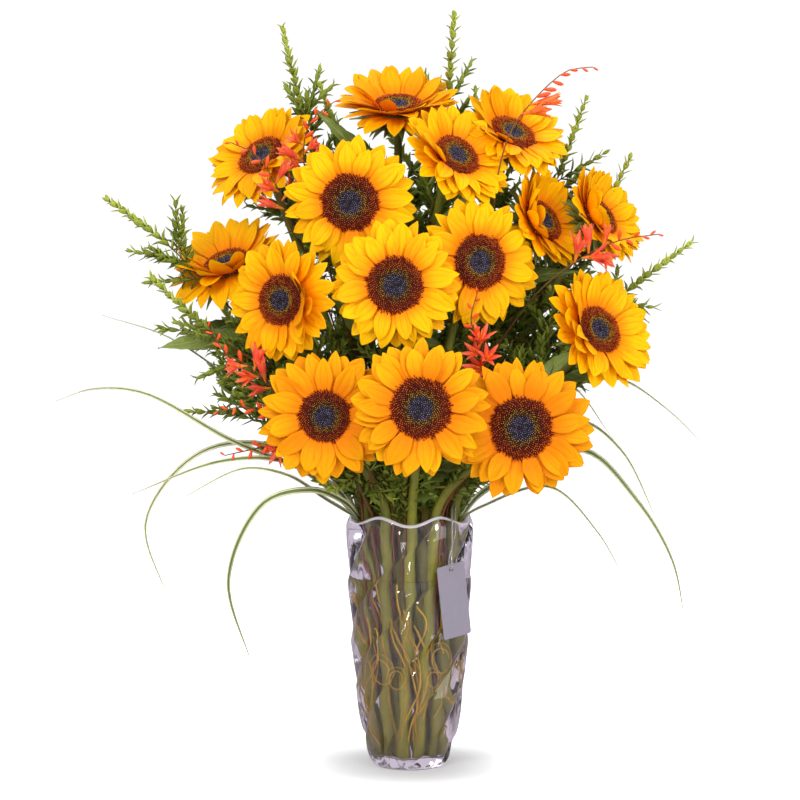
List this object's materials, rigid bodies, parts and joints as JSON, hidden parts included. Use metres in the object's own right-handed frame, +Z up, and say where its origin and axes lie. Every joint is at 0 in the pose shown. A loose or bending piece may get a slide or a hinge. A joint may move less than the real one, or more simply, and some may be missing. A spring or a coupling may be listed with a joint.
{
  "type": "sunflowers in a vase",
  "caption": "A bouquet of sunflowers with myrtle, crocosmia and striped grass, standing in water in a clear ridged glass vase with a bare hang tag",
  "frame": {"origin": "the middle of the flat foot of the vase, on the surface that it stands on", "axes": "+Z up the vase; -Y to the front, where most of the flower heads face; +X to the right seen from the front"},
  "size_m": [0.6555, 0.281, 0.7685],
  "materials": {
    "petal": "satin",
    "seed_disc": "matte",
    "stem_and_leaf": "satin",
    "myrtle": "satin",
    "crocosmia": "satin",
    "striped_grass": "satin",
    "twig": "matte",
    "vase_glass": "gloss",
    "water": "gloss",
    "tag_card": "satin",
    "tag_chain": "gloss"
  },
  "bodies": {
    "root": {"crocosmia_left": "crocosmia", "crocosmia_right": "crocosmia", "crocosmia_upper_left": "crocosmia", "curly_twigs": "twig", "grass_left": "striped_grass", "grass_right": "striped_grass", "hang_tag": "tag_card", "myrtle_left": "myrtle", "myrtle_mouth": "myrtle", "myrtle_right": "myrtle", "myrtle_top": "myrtle", "myrtle_upper_left": "myrtle", "sunflower_01_disc": "seed_disc", "sunflower_01_petals": "petal", "sunflower_01_stem": "stem_and_leaf", "sunflower_02_disc": "seed_disc", "sunflower_02_petals": "petal", "sunflower_02_stem": "stem_and_leaf", "sunflower_03_disc": "seed_disc", "sunflower_03_petals": "petal", "sunflower_03_stem": "stem_and_leaf", "sunflower_04_disc": "seed_disc", "sunflower_04_petals": "petal", "sunflower_04_stem": "stem_and_leaf", "sunflower_05_disc": "seed_disc", "sunflower_05_petals": "petal", "sunflower_05_stem": "stem_and_leaf", "sunflower_06_disc": "seed_disc", "sunflower_06_petals": "petal", "sunflower_06_stem": "stem_and_leaf", "sunflower_07_disc": "seed_disc", "sunflower_07_petals": "petal", "sunflower_07_stem": "stem_and_leaf", "sunflower_08_disc": "seed_disc", "sunflower_08_petals": "petal", "sunflower_08_stem": "stem_and_leaf", "sunflower_09_disc": "seed_disc", "sunflower_09_petals": "petal", "sunflower_09_stem": "stem_and_leaf", "sunflower_10_disc": "seed_disc", "sunflower_10_petals": "petal", "sunflower_10_stem": "stem_and_leaf", "sunflower_11_disc": "seed_disc", "sunflower_11_petals": "petal", "sunflower_11_stem": "stem_and_leaf", "sunflower_12_disc": "seed_disc", "sunflower_12_petals": "petal", "sunflower_12_stem": "stem_and_leaf", "sunflower_13_disc": "seed_disc", "sunflower_13_petals": "petal", "sunflower_13_stem": "stem_and_leaf", "sunflower_14_disc": "seed_disc", "sunflower_14_petals": "petal", "sunflower_14_stem": "stem_and_leaf", "sunflower_15_disc": "seed_disc", "sunflower_15_petals": "petal", "sunflower_15_stem": "stem_and_leaf", "tag_cord": "tag_chain", "vase": "vase_glass", "water": "water"}
  },
  "joints": []
}
